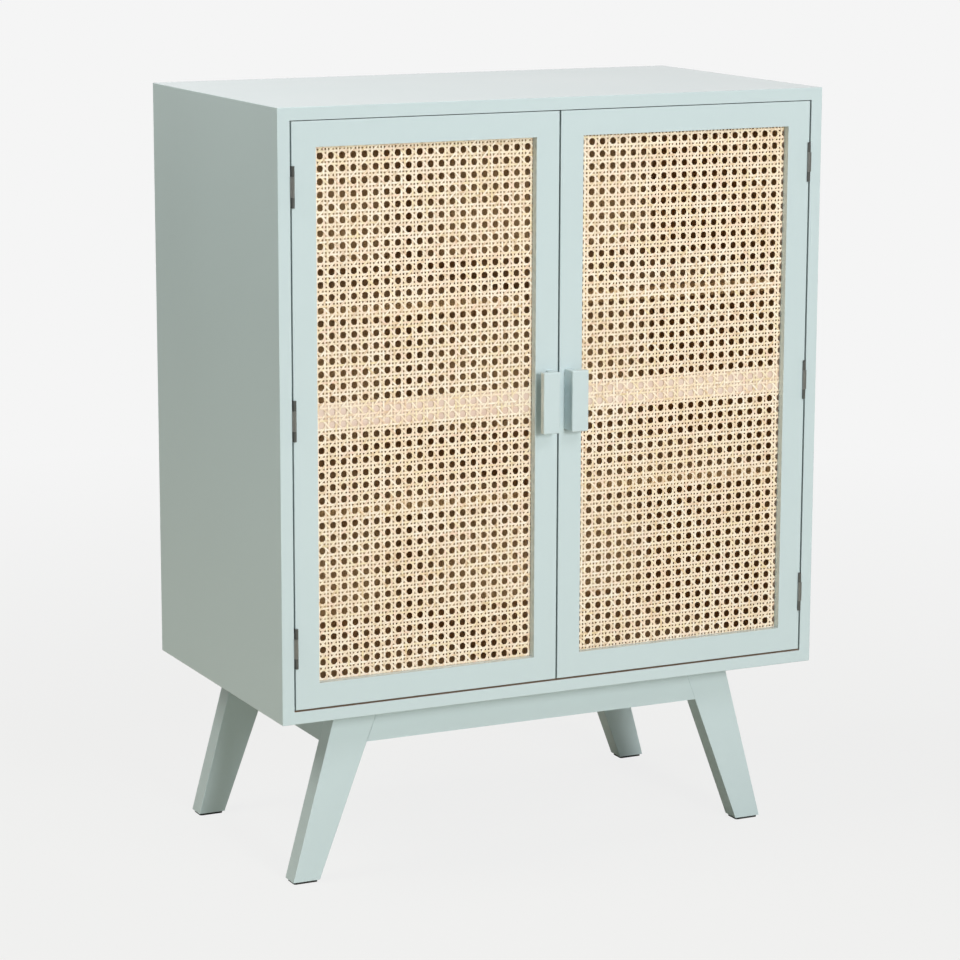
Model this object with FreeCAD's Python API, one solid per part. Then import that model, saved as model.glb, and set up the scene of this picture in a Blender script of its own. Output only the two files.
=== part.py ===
"""Record cabinet with two cane doors on a splayed leg frame.

Millimetres, +Z up, front towards -Y. The origin is on the floor, under the
centre of the whole cabinet, its handles included.
"""
import FreeCAD
import Part
import itertools
import math
import os

V = FreeCAD.Vector

# ---- driving dimensions -------------------------------------------------
WIDTH = 720.0            # carcass, outside
DEPTH = 400.0            # carcass, front edge to back
BODY_H = 722.0           # carcass, outside
BOARD = 15.0             # carcass boards and shelves
LEG_H = 214.0            # floor glide to carcass
GLIDE_H = 3.0

SIDE_GAP = 2.0           # door edge to side panel, filled by two hinge leaves
MEETING_GAP = 2.0
TOP_GAP = 1.0
BOTTOM_GAP = 2.0

DOOR_T = 20.0
STILE_W = 30.0
RAIL_H = 30.0
MID_RAIL_H = 30.0
REBATE_W = 8.0           # ledge that holds the cane, seen from behind
CANE_DEPTH = 10.0        # door face to the cane
CANE_T = 2.0
CANE_COLUMNS = 12        # openings of the weave, as a plain grid
CANE_ROWS = 27
CANE_HOLE = 10.5         # side of an opening
TENON_L = 12.0
TENON_T = 6.0
TENON_INSET = 5.0        # tenon is this much narrower than its rail, each side
TENON_Y = 2.5            # door face to the tenon

HANDLE_W = 22.0
HANDLE_H = 74.0
HANDLE_PROJ = 21.0
HANDLE_WALL = 9.0        # wall that stands on the stile
HANDLE_LIP = 9.0         # lip that the fingers pull on
HANDLE_EDGE = 7.0        # meeting edge of the door to the handle
HANDLE_ROUND = 1.5
HANDLE_SCREW_UP = 25.0   # handle's middle to its two screws

HINGE_L = 48.0
HINGE_PITCH = 270.0      # centre hinge to the other two
LEAF_T = 0.9
LEAF_D = 15.0            # leaf, door face to its back edge
BARREL_R = 1.9
PIN_R = 1.0
PIN_CLEARANCE = 0.05     # radial, in the knuckles that turn
FIXED_KNUCKLE = 23.6     # middle knuckle, on the carcass leaf
KNUCKLE_GAP = 0.3
PIN_AXIS_IN = 1.0        # pin axis, inward from the door's hinge edge
PIN_AXIS_FRONT = 1.5     # pin axis, in front of the door's face
BARREL_NOTCH_R = 2.3     # hollow in the stile round the barrel
LEAF_CLEAR = 1.1         # door's face to a leaf, beside a knuckle of the other leaf
WEB = 0.6                # half the web that joins a knuckle to its leaf
LEAF_SCREW_IN = 9.3      # door's face to the screws of a leaf
LEAF_SCREW_UP = 17.0     # hinge's middle to the screws of a leaf

BACK_T = 5.0
BACK_EDGE = 7.0          # outside of the carcass to the back panel's edge
BACK_SCREW_END = 110.0   # corner of the screw lines to the first screw up a side
BACK_SCREW_PITCH = 220.0 # between the screws of the top and of the bottom
SHELVES = ("lower_shelf", "upper_shelf")   # they share the room out evenly
SHELF_SETBACK = 4.0      # back of the doors to a shelf
SHELF_PLAY = 0.5
SHELF_PIN_R = 2.5
SHELF_PIN_L = 20.0
SHELF_PIN_IN = 8.0       # pin in the side panel
SHELF_PIN_END = 45.0     # front or back edge of a shelf to a pin
COLLAR_R = 4.0
COLLAR_T = 0.4
DOWEL_R = 4.0
DOWEL_L = 30.0
DOWEL_FRONT = 50.0       # carcass front to the first dowel
DOWEL_BACK = 60.0

STRIKE_T = 1.2
STRIKE_W = 30.0
STRIKE_H = 14.0
STRIKE_UP = 3.0          # cane's rebate to the strike plate
STRIKE_ROUND = 2.0
CATCH_GAP = 0.3          # strike plate to magnet, door closed
CATCH_W = 32.0
CATCH_H = 18.0
CATCH_D = 14.0
CATCH_WALL = 3.0         # round the magnet
CATCH_ROUND = 1.5
CATCH_EAR_W = 50.0       # across both ears
CATCH_EAR_T = 2.0
CATCH_SCREW_X = 20.5     # middle of a catch to its screws
MAGNET_D = 10.0
CATCH_X = 62.0           # middle of the cabinet to a catch

LEG_T = 26.0
LEG_TOP_OUT = 266.6      # outer edge of a leg under the carcass
LEG_TOP_IN = 208.6
LEG_OUT_SLOPE = 0.271    # outward run for each unit of drop
LEG_IN_SLOPE = 0.379
BASE_FRONT = 56.4        # carcass front to the leg frame
BASE_BACK = 6.0          # leg frame to the carcass back
APRON_H = 49.0
SIDE_APRON_T = 22.0      # measured level
BLOCK_H = 28.0
BLOCK_SIZE = 60.0
BLOCK_SCREW_NEAR = 10.0  # screws of a corner block, from its leg and its apron
BLOCK_SCREW_FAR = 32.0
LEG_DOWEL_DROPS = (14.0, 34.0)   # carcass to the dowels of a leg's joints
GLIDE_INSET = 2.0
GLIDE_ROUND = 3.0
GLIDE_NAIL_R = 1.2
GLIDE_NAIL_L = 14.0

EDGE_ROUND = 0.8         # painted edges
TOUCH = 0.01             # two places this near are one

SCREW_POINT = 2.0        # point of a screw, in shank radii
CROSS_ARM = 0.6          # cross recess: reach and half its width in head radii,
CROSS_HALF_W = 0.12
CROSS_DEPTH = 0.6        # and its depth in head heights

# ---- derived planes -----------------------------------------------------
FRONT = -(DEPTH - HANDLE_PROJ) / 2     # carcass front, so that the box is centred
BACK = FRONT + DEPTH
FLOOR_TO_BODY = LEG_H + GLIDE_H
TOP = FLOOR_TO_BODY + BODY_H
HALF_W = WIDTH / 2
INNER_X = HALF_W - BOARD
INNER_LOW = FLOOR_TO_BODY + BOARD
INNER_HIGH = TOP - BOARD

DOOR_X0 = MEETING_GAP / 2              # right-hand door, meeting edge
DOOR_X1 = INNER_X - SIDE_GAP           # right-hand door, hinge edge
DOOR_Z0 = INNER_LOW + BOTTOM_GAP
DOOR_Z1 = INNER_HIGH - TOP_GAP
DOOR_MID = (DOOR_Z0 + DOOR_Z1) / 2
DOOR_BACK = FRONT + DOOR_T
OPEN_X0 = DOOR_X0 + STILE_W            # cane opening
OPEN_X1 = DOOR_X1 - STILE_W
OPEN_Z0 = DOOR_Z0 + RAIL_H
OPEN_Z1 = DOOR_Z1 - RAIL_H
CANE_Y0 = FRONT + CANE_DEPTH
CANE_Y1 = CANE_Y0 + CANE_T

PIN_X = DOOR_X1 - PIN_AXIS_IN
PIN_Y = FRONT - PIN_AXIS_FRONT
HINGE_Z = [DOOR_MID - HINGE_PITCH, DOOR_MID, DOOR_MID + HINGE_PITCH]

CATCH_Y = DOOR_BACK + STRIKE_T + CATCH_GAP
COMPARTMENT_H = (INNER_HIGH - INNER_LOW - len(SHELVES) * BOARD) / (len(SHELVES) + 1)
SHELF_LOWS = [INNER_LOW + COMPARTMENT_H + step * (COMPARTMENT_H + BOARD) for step in range(len(SHELVES))]
SHELF_Y0 = DOOR_BACK + SHELF_SETBACK
SHELF_Y1 = BACK - BACK_T - SHELF_PLAY
BASE_Y0 = FRONT + BASE_FRONT
BASE_Y1 = BACK - BASE_BACK
LEG_Y = {"front": BASE_Y0, "back": BASE_Y1 - LEG_T}
BLOCKS = [(BASE_Y0 + LEG_T, 1), (BASE_Y1 - LEG_T, -1)]   # face of the legs, way into the frame


# ---- helpers ------------------------------------------------------------
def box(x0, x1, y0, y1, z0, z1):
    return Part.makeBox(x1 - x0, y1 - y0, z1 - z0, V(x0, y0, z0))


def rod(x, y, z, direction, radius, length):
    return Part.makeCylinder(radius, length, V(x, y, z), V(*direction))


def front_prism(points, y0, y1, openings=()):
    """Outline in X and Z, less the outlines of its openings, pushed back from y0 to y1."""
    loops = []
    for outline in (points, *openings):
        ring = [V(x, y0, z) for x, z in outline]
        loops.append(Part.makePolygon(ring + ring[:1]))
    face = Part.makeFace(loops, "Part::FaceMakerCheese")
    return face.extrude(V(0, y1 - y0, 0))


def plan_prism(points, z0, z1):
    """Outline in X and Y, raised from z0 to z1."""
    ring = [V(x, y, z0) for x, y in points]
    face = Part.Face(Part.makePolygon(ring + ring[:1]))
    return face.extrude(V(0, 0, z1 - z0))


def mirrored(shape):
    return shape.mirror(V(0, 0, 0), V(1, 0, 0))


def rounded(shape, keep_edge, radius=EDGE_ROUND):
    """Round the edges that keep_edge accepts."""
    edges = [edge for edge in shape.Edges if keep_edge(edge.BoundBox)]
    return shape.makeFillet(radius, edges)


def on_plane(low, high, place):
    return abs(low - place) < TOUCH and abs(high - place) < TOUCH


def runs_back(b):
    """An edge that runs straight from front to back."""
    return b.XLength < TOUCH and b.ZLength < TOUCH


def save(node, *shapes):
    shape = shapes[0] if len(shapes) == 1 else Part.makeCompound(list(shapes))
    shape.exportStep("parts/" + node + ".step")


def placed(shape, place, direction):
    turn = FreeCAD.Rotation(V(0, 0, 1), V(*direction))
    shape.Placement = FreeCAD.Placement(V(*place), turn)
    return shape


def screw_hole(place, direction, screw):
    """Room for a countersunk screw: place is the middle of its flat head."""
    shank_r, head_r, head_h, length = screw
    tip = length - SCREW_POINT * shank_r
    profile = [(0, 0), (head_r, 0), (shank_r, head_h), (shank_r, tip), (0, length)]
    ring = [V(x, 0, z) for x, z in profile]
    body = Part.Face(Part.makePolygon(ring + ring[:1])).revolve(V(0, 0, 0), V(0, 0, 1), 360)
    return placed(body, place, direction)


def wood_screw(place, direction, screw):
    """Countersunk screw with a cross recess."""
    shank_r, head_r, head_h, length = screw
    arm = CROSS_ARM * head_r
    half = CROSS_HALF_W * head_r
    depth = CROSS_DEPTH * head_h
    cross = box(-arm, arm, -half, half, 0, depth).fuse(box(-half, half, -arm, arm, 0, depth))
    return screw_hole(place, direction, screw).cut(placed(cross, place, direction))


def drilled(shape, screws):
    """Cut the room for each (place, direction, screw)."""
    for one in screws:
        shape = shape.cut(screw_hole(*one))
    return shape


# screw sizes: shank radius, head radius, head height, length
HINGE_SCREW = (1.1, 2.0, 0.9, 12.0)
BACK_SCREW = (1.5, 2.9, 1.8, 22.0)
BLOCK_SCREW = (2.0, 4.0, 2.4, 40.0)
HANDLE_SCREW = (1.75, 3.5, 2.2, 32.0)
CATCH_SCREW = (1.5, 2.8, 1.6, 12.0)
STRIKE_SCREW = (1.2, 2.3, 1.2, 11.0)


# ---- carcass ------------------------------------------------------------
def back_screws():
    """Along the four boards, driven forwards into their back edges."""
    line_x = HALF_W - (BOARD + BACK_EDGE) / 2
    low = FLOOR_TO_BODY + (BOARD + BACK_EDGE) / 2
    high = TOP - (BOARD + BACK_EDGE) / 2
    up_a_side = (low + BACK_SCREW_END, (low + high) / 2, high - BACK_SCREW_END)
    places = [(side * line_x, z) for side in (-1, 1) for z in up_a_side]
    places += [(step * BACK_SCREW_PITCH, z) for z in (low, high) for step in (-1, 0, 1)]
    return [((x, BACK, z), (0, -1, 0), BACK_SCREW) for x, z in places]


def back_panel():
    edge = HALF_W - BACK_EDGE
    return box(-edge, edge, BACK - BACK_T, BACK, FLOOR_TO_BODY + BACK_EDGE, TOP - BACK_EDGE)


def dowels():
    """Three in each corner of the carcass, standing in the side panels."""
    x = HALF_W - BOARD / 2
    rows = (FRONT + DOWEL_FRONT, (FRONT + BACK) / 2, BACK - DOWEL_BACK)
    lows = (INNER_LOW - DOWEL_L / 3, INNER_HIGH - DOWEL_L * 2 / 3)
    return [rod(side * x, y, z, (0, 0, 1), DOWEL_R, DOWEL_L) for side in (-1, 1) for z in lows for y in rows]


def carcass_boards():
    """The four boards, with the rebate for the back panel and every hole."""
    side = box(INNER_X, HALF_W, FRONT, BACK, INNER_LOW, INNER_HIGH)
    side = rounded(side, lambda b: on_plane(b.XMin, b.XMax, HALF_W) and b.ZLength > BOARD)
    boards = {"right_side_panel": side, "left_side_panel": mirrored(side)}
    for name, z0, z1, outside in (
        ("top_panel", INNER_HIGH, TOP, TOP),
        ("bottom_panel", FLOOR_TO_BODY, INNER_LOW, FLOOR_TO_BODY),
    ):
        board = box(-HALF_W, HALF_W, FRONT, BACK, z0, z1)
        seen = lambda b: b.ZLength > BOARD / 2 or on_plane(b.ZMin, b.ZMax, outside)
        boards[name] = rounded(board, seen)
    pegs = [back_panel()] + dowels() + shelf_pins()
    one_side = leaf_screws("carcass") + block_screws() + catch_screws()
    screws = back_screws() + one_side + mirrored_screws(one_side)
    return {name: drilled(board.cut(pegs), screws) for name, board in boards.items()}


def shelf(low):
    half = INNER_X - SHELF_PLAY
    board = box(-half, half, SHELF_Y0, SHELF_Y1, low, low + BOARD)
    return rounded(board, lambda b: b.XLength > half and on_plane(b.YMin, b.YMax, SHELF_Y0))


def shelf_pins():
    """Four under each shelf, each with a thin collar against its side panel."""
    rows = (SHELF_Y0 + SHELF_PIN_END, SHELF_Y1 - SHELF_PIN_END)
    pins = []
    for side, y, low in itertools.product((-1, 1), rows, SHELF_LOWS):
        z = low - SHELF_PIN_R
        inward = (-side, 0, 0)
        pin = rod(side * (INNER_X + SHELF_PIN_IN), y, z, inward, SHELF_PIN_R, SHELF_PIN_L)
        collar = rod(side * INNER_X, y, z, inward, COLLAR_R, COLLAR_T)
        pins.append(pin.fuse(collar))
    return pins


# ---- doors (the right-hand one; the left-hand one is its mirror) --------
def on_front_outline(b):
    """An edge on the outline of the door's front face."""
    if not on_plane(b.YMin, b.YMax, FRONT):
        return False
    upright = on_plane(b.XMin, b.XMax, DOOR_X0) or on_plane(b.XMin, b.XMax, DOOR_X1)
    level = on_plane(b.ZMin, b.ZMax, DOOR_Z0) or on_plane(b.ZMin, b.ZMax, DOOR_Z1)
    return upright or level


def door_frame():
    """Two stiles, two rails with stub tenons, and the rebate for the cane."""
    tenon_y = (FRONT + TENON_Y, FRONT + TENON_Y + TENON_T)
    rebate = box(OPEN_X0 - REBATE_W, OPEN_X1 + REBATE_W, CANE_Y0, DOOR_BACK,
                 OPEN_Z0 - REBATE_W, OPEN_Z1 + REBATE_W)
    stiles = {
        "meeting_stile": box(DOOR_X0, OPEN_X0, FRONT, DOOR_BACK, DOOR_Z0, DOOR_Z1),
        "hinge_stile": box(OPEN_X1, DOOR_X1, FRONT, DOOR_BACK, DOOR_Z0, DOOR_Z1),
    }
    rails = {}
    for name, z0, z1 in (("bottom_rail", DOOR_Z0, OPEN_Z0), ("top_rail", OPEN_Z1, DOOR_Z1)):
        tenon = box(OPEN_X0 - TENON_L, OPEN_X1 + TENON_L, *tenon_y, z0 + TENON_INSET, z1 - TENON_INSET)
        for stile in stiles:
            stiles[stile] = stiles[stile].cut(tenon)
        rails[name] = box(OPEN_X0, OPEN_X1, FRONT, DOOR_BACK, z0, z1).fuse(tenon)
    frame = {}
    for name, piece in {**stiles, **rails}.items():
        piece = rounded(piece, on_front_outline)
        frame[name] = piece.cut(rebate).removeSplitter()
    return frame


def mid_rail():
    """Batten behind the cane, between the two stiles."""
    return box(OPEN_X0 - REBATE_W, OPEN_X1 + REBATE_W, CANE_Y1, DOOR_BACK,
               DOOR_MID - MID_RAIL_H / 2, DOOR_MID + MID_RAIL_H / 2)


def rectangle(x0, x1, z0, z1):
    return [(x0, z0), (x1, z0), (x1, z1), (x0, z1)]


def cane_panel():
    """The weave as a sheet with square openings, spread evenly over the door's opening."""
    pitch_x = (OPEN_X1 - OPEN_X0) / CANE_COLUMNS
    pitch_z = (OPEN_Z1 - OPEN_Z0) / CANE_ROWS
    half = CANE_HOLE / 2
    middles = [(OPEN_X0 + (column + 0.5) * pitch_x, OPEN_Z0 + (row + 0.5) * pitch_z)
               for column in range(CANE_COLUMNS) for row in range(CANE_ROWS)]
    holes = [rectangle(x - half, x + half, z - half, z + half) for x, z in middles]
    sheet = rectangle(OPEN_X0 - REBATE_W, OPEN_X1 + REBATE_W, OPEN_Z0 - REBATE_W, OPEN_Z1 + REBATE_W)
    return front_prism(sheet, CANE_Y0, CANE_Y1, holes)


def cane_beads():
    """Strips that hold the cane in its rebate, above and below the batten."""
    x0, x1 = OPEN_X0 - REBATE_W, OPEN_X1 + REBATE_W
    strips = []
    for z0, z1 in ((OPEN_Z0 - REBATE_W, OPEN_Z0), (OPEN_Z1, OPEN_Z1 + REBATE_W)):
        strips.append(box(x0, x1, CANE_Y1, DOOR_BACK, z0, z1))
    half = MID_RAIL_H / 2
    for z0, z1 in ((OPEN_Z0, DOOR_MID - half), (DOOR_MID + half, OPEN_Z1)):
        strips.append(box(x0, OPEN_X0, CANE_Y1, DOOR_BACK, z0, z1))
        strips.append(box(OPEN_X1, x1, CANE_Y1, DOOR_BACK, z0, z1))
    return strips


def handle():
    """Edge pull: a wall on the stile and a lip that turns away from the meeting edge."""
    x0 = DOOR_X0 + HANDLE_EDGE
    y0 = FRONT - HANDLE_PROJ
    z0, z1 = DOOR_MID - HANDLE_H / 2, DOOR_MID + HANDLE_H / 2
    lip = box(x0, x0 + HANDLE_W, y0, y0 + HANDLE_LIP, z0, z1)
    pull = lip.fuse(box(x0, x0 + HANDLE_WALL, y0, FRONT, z0, z1)).removeSplitter()
    seen = lambda b: b.YMax < FRONT - TOUCH or runs_back(b)
    return rounded(pull, seen, HANDLE_ROUND)


def handle_screws():
    x = DOOR_X0 + HANDLE_EDGE + HANDLE_WALL / 2
    heights = (DOOR_MID - HANDLE_SCREW_UP, DOOR_MID + HANDLE_SCREW_UP)
    return [((x, DOOR_BACK, z), (0, -1, 0), HANDLE_SCREW) for z in heights]


# ---- butt hinges (right-hand; pin axis upright) --------------------------
def leaf_screws(leaf):
    """Two in each leaf, driven away from the gap."""
    y = FRONT + LEAF_SCREW_IN
    if leaf == "door":
        x, way = DOOR_X1 + LEAF_T, -1
    else:
        x, way = INNER_X - LEAF_T, 1
    heights = [z + side * LEAF_SCREW_UP for z in HINGE_Z for side in (-1, 1)]
    return [((x, y, z), (way, 0, 0), HINGE_SCREW) for z in heights]


def hinge_leaves(leaf):
    """Three leaves: a door leaf has the end knuckles, a carcass leaf the middle one."""
    if leaf == "door":
        x0, x1, bore = DOOR_X1, DOOR_X1 + LEAF_T, PIN_R + PIN_CLEARANCE
    else:
        x0, x1, bore = INNER_X - LEAF_T, INNER_X, PIN_R
    half, fixed = HINGE_L / 2, FIXED_KNUCKLE / 2
    ends = [(-half, -fixed - KNUCKLE_GAP), (fixed + KNUCKLE_GAP, half)]
    own = ends if leaf == "door" else [(-fixed, fixed)]
    leaves = []
    for z in HINGE_Z:
        plate = box(x0, x1, FRONT + LEAF_CLEAR, FRONT + LEAF_D, z - half, z + half)
        for low, high in own:
            plate = plate.fuse(box(x0, x1, PIN_Y - WEB, FRONT + LEAF_CLEAR, z + low, z + high))
            plate = plate.fuse(box(PIN_X, x1, PIN_Y - WEB, PIN_Y + WEB, z + low, z + high))
            plate = plate.fuse(rod(PIN_X, PIN_Y, z + low, (0, 0, 1), BARREL_R, high - low))
        plate = plate.cut(rod(PIN_X, PIN_Y, z - half, (0, 0, 1), bore, HINGE_L)).removeSplitter()
        leaves.append(drilled(plate, leaf_screws(leaf)))
    return leaves


def hinge_pins():
    return [rod(PIN_X, PIN_Y, z - HINGE_L / 2, (0, 0, 1), PIN_R, HINGE_L) for z in HINGE_Z]


def barrel_room():
    length = HINGE_L + 2 * KNUCKLE_GAP
    return [rod(PIN_X, PIN_Y, z - length / 2, (0, 0, 1), BARREL_NOTCH_R, length) for z in HINGE_Z]


# ---- catches: a magnet under the top panel, a strike plate on the top rail
def catch_screws():
    """Two up into the top panel, through the ears of the housing."""
    y = CATCH_Y + CATCH_D / 2
    z = INNER_HIGH - CATCH_EAR_T
    return [((CATCH_X + way * CATCH_SCREW_X, y, z), (0, 0, 1), CATCH_SCREW) for way in (-1, 1)]


def wide_box(width, y0, y1, z0, z1):
    """A box of that width, centred on the catch."""
    return box(CATCH_X - width / 2, CATCH_X + width / 2, y0, y1, z0, z1)


def catch():
    """The housing with its ears, and the magnet bar in it."""
    y0, z1 = CATCH_Y, INNER_HIGH
    y1, z0 = y0 + CATCH_D, z1 - CATCH_H
    shell = wide_box(CATCH_W, y0, y1, z0, z1)
    shell = rounded(shell, lambda b: runs_back(b) and on_plane(b.ZMin, b.ZMax, z0), CATCH_ROUND)
    ears = wide_box(CATCH_EAR_W, y0 + CATCH_WALL, y1 - CATCH_WALL, z1 - CATCH_EAR_T, z1)
    bar = wide_box(CATCH_W - 2 * CATCH_WALL, y0, y0 + MAGNET_D, z0 + CATCH_WALL, z1 - CATCH_WALL)
    return drilled(shell.fuse(ears).cut(bar), catch_screws()), bar


def strike():
    z0 = OPEN_Z1 + REBATE_W + STRIKE_UP
    plate = wide_box(STRIKE_W, DOOR_BACK, DOOR_BACK + STRIKE_T, z0, z0 + STRIKE_H)
    plate = rounded(plate, runs_back, STRIKE_ROUND)
    screw = ((CATCH_X, DOOR_BACK + STRIKE_T, z0 + STRIKE_H / 2), (0, -1, 0), STRIKE_SCREW)
    return drilled(plate, [screw]), screw


# ---- leg frame ----------------------------------------------------------
def leg_out(drop):
    return LEG_TOP_OUT + LEG_OUT_SLOPE * drop


def leg_in(drop):
    return LEG_TOP_IN + LEG_IN_SLOPE * drop


def right_leg(y0):
    outline = [(leg_in(0), FLOOR_TO_BODY), (leg_out(0), FLOOR_TO_BODY),
               (leg_out(LEG_H), GLIDE_H), (leg_in(LEG_H), GLIDE_H)]
    leg = front_prism(outline, y0, y0 + LEG_T)
    return rounded(leg, lambda b: b.ZLength > LEG_H / 2)


def right_glide(y0):
    """Pad under a foot, with the nail that holds it."""
    x0, x1 = leg_in(LEG_H) + GLIDE_INSET, leg_out(LEG_H) - GLIDE_INSET
    pad = box(x0, x1, y0 + GLIDE_INSET, y0 + LEG_T - GLIDE_INSET, 0, GLIDE_H)
    pad = rounded(pad, lambda b: b.ZLength > GLIDE_H / 2, GLIDE_ROUND)
    return pad.fuse(rod((x0 + x1) / 2, y0 + LEG_T / 2, GLIDE_H, (0, 0, 1), GLIDE_NAIL_R, GLIDE_NAIL_L))


def cross_apron(y0):
    """Front or back apron, between the slanted inner edges of two legs."""
    low = FLOOR_TO_BODY - APRON_H
    outline = [(-leg_in(0), FLOOR_TO_BODY), (leg_in(0), FLOOR_TO_BODY),
               (leg_in(APRON_H), low), (-leg_in(APRON_H), low)]
    return front_prism(outline, y0, y0 + LEG_T)


def right_apron():
    """Side apron, tilted so that it is flush with the outer faces of its legs."""
    drop = APRON_H * math.cos(math.atan(LEG_OUT_SLOPE))
    low = FLOOR_TO_BODY - drop
    outline = [(leg_out(0), FLOOR_TO_BODY), (leg_out(drop), low),
               (leg_out(drop) - SIDE_APRON_T, low), (leg_out(0) - SIDE_APRON_T, FLOOR_TO_BODY)]
    return front_prism(outline, BASE_Y0 + LEG_T, BASE_Y1 - LEG_T)


def right_block(face_y, way):
    """Corner block between a leg and the side apron, bevelled to the apron's tilt."""
    x1 = leg_out(0) - SIDE_APRON_T
    low = FLOOR_TO_BODY - BLOCK_H
    outline = [(x1 - BLOCK_SIZE, FLOOR_TO_BODY), (x1, FLOOR_TO_BODY),
               (leg_out(BLOCK_H) - SIDE_APRON_T, low), (x1 - BLOCK_SIZE, low)]
    slab = front_prism(outline, face_y, face_y + way * 2 * BLOCK_SIZE)
    corner = [(x1 + BLOCK_SIZE, face_y), (x1 - BLOCK_SIZE, face_y),
              (x1 + BLOCK_SIZE, face_y + way * 2 * BLOCK_SIZE)]
    return slab.common(plan_prism(corner, low, FLOOR_TO_BODY))


def block_screws():
    """Two in each corner block, up into the bottom panel."""
    x1 = leg_out(0) - SIDE_APRON_T
    low = FLOOR_TO_BODY - BLOCK_H
    near, far = BLOCK_SCREW_NEAR, BLOCK_SCREW_FAR
    return [((x1 - dx, face_y + way * dy, low), (0, 0, 1), BLOCK_SCREW)
            for face_y, way in BLOCKS for dx, dy in ((near, far), (far, near))]


def leg_frame_dowels():
    """Two in each joint of a leg with an apron, on the right-hand side."""
    pegs = []
    for drop in LEG_DOWEL_DROPS:
        z = FLOOR_TO_BODY - drop
        for y0 in LEG_Y.values():
            pegs.append(rod(leg_in(drop) - DOWEL_L / 2, y0 + LEG_T / 2, z, (1, 0, 0), DOWEL_R, DOWEL_L))
        for face_y, _ in BLOCKS:
            x = leg_out(drop) - SIDE_APRON_T / 2
            pegs.append(rod(x, face_y - DOWEL_L / 2, z, (0, 1, 0), DOWEL_R, DOWEL_L))
    return pegs


def mirrored_screws(screws):
    return [((-x, y, z), (-u, v, w), screw) for (x, y, z), (u, v, w), screw in screws]


# ---- assembly -----------------------------------------------------------
def both(shapes):
    """The right-hand solids and their mirror images."""
    return list(shapes) + [mirrored(shape) for shape in shapes]


def save_carcass():
    for name, board in carcass_boards().items():
        save(name, board)
    save("back_panel", drilled(back_panel(), back_screws()))
    save("back_panel_screws", *[wood_screw(*one) for one in back_screws()])
    save("carcass_dowels", *dowels())
    for name, low in zip(SHELVES, SHELF_LOWS):
        save(name, shelf(low))
    save("shelf_pins", *shelf_pins())


def save_leg_frame():
    pegs = leg_frame_dowels()
    glides = {row: right_glide(y0) for row, y0 in LEG_Y.items()}
    for row, y0 in LEG_Y.items():
        leg = right_leg(y0).cut(pegs + [glides[row]])
        save(row + "_right_leg", leg)
        save(row + "_left_leg", mirrored(leg))
        save(row + "_apron", cross_apron(y0).cut(both(pegs)))
    side = right_apron().cut(pegs)
    save("right_apron", side)
    save("left_apron", mirrored(side))
    save("leg_frame_dowels", *both(pegs))
    save("foot_glides", *both(glides.values()))
    screws = block_screws()
    save("corner_blocks", *both([drilled(right_block(*place), screws) for place in BLOCKS]))
    save("corner_block_screws", *both([wood_screw(*one) for one in screws]))


def right_door():
    """Every node of the right-hand door, as lists of solids."""
    frame = door_frame()
    strike_plate, strike_screw = strike()
    leaf = leaf_screws("door")
    frame["hinge_stile"] = drilled(frame["hinge_stile"].cut(barrel_room()), leaf)
    frame["meeting_stile"] = drilled(frame["meeting_stile"], handle_screws())
    frame["top_rail"] = drilled(frame["top_rail"], [strike_screw])
    door = {name: [piece] for name, piece in frame.items()}
    door["mid_rail"] = [mid_rail()]
    door["cane_panel"] = [cane_panel()]
    door["cane_beads"] = cane_beads()
    door["handle"] = [drilled(handle(), handle_screws())]
    door["handle_screws"] = [wood_screw(*one) for one in handle_screws()]
    door["door_hinge_leaves"] = hinge_leaves("door")
    door["door_hinge_screws"] = [wood_screw(*one) for one in leaf]
    door["strike_plate"] = [strike_plate]
    door["strike_screw"] = [wood_screw(*strike_screw)]
    return door


def save_doors():
    for name, solids in right_door().items():
        save("right_" + name, *solids)
        save("left_" + name, *[mirrored(solid) for solid in solids])


def save_fittings():
    leaves = hinge_leaves("carcass")
    save("right_carcass_hinge_leaves", *leaves)
    save("left_carcass_hinge_leaves", *[mirrored(leaf) for leaf in leaves])
    save("carcass_hinge_screws", *both([wood_screw(*one) for one in leaf_screws("carcass")]))
    save("hinge_pins", *both(hinge_pins()))
    housing, bar = catch()
    save("catch_housings", *both([housing]))
    save("catch_magnets", *both([bar]))
    save("catch_screws", *both([wood_screw(*one) for one in catch_screws()]))


os.makedirs("parts", exist_ok=True)
save_carcass()
save_leg_frame()
save_doors()
save_fittings()
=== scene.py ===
"""Finishes, woven cane and a studio for a record cabinet with two cane doors.

Metres, +Z up, front towards -Y, in the frame of the cabinet's CAD model.
"""
import math

import bpy
from bpy.props import FloatProperty, FloatVectorProperty, IntProperty, PointerProperty
from mathutils import Matrix, Vector


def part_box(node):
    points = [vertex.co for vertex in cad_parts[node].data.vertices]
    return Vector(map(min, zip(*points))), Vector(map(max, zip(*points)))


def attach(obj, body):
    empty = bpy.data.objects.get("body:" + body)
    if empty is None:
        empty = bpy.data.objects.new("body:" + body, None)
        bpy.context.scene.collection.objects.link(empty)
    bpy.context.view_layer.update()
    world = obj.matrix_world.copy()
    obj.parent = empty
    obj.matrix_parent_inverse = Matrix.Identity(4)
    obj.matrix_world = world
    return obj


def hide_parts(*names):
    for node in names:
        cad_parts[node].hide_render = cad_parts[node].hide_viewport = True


bl_info = {
    "name": "Record cabinet",
    "version": (1, 0, 0),
    "blender": (4, 5, 0),
    "location": "3D View > Sidebar > Cabinet",
    "description": "Paints a record cabinet, weaves the cane of its doors and sets up a studio",
    "category": "Object",
}

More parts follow.
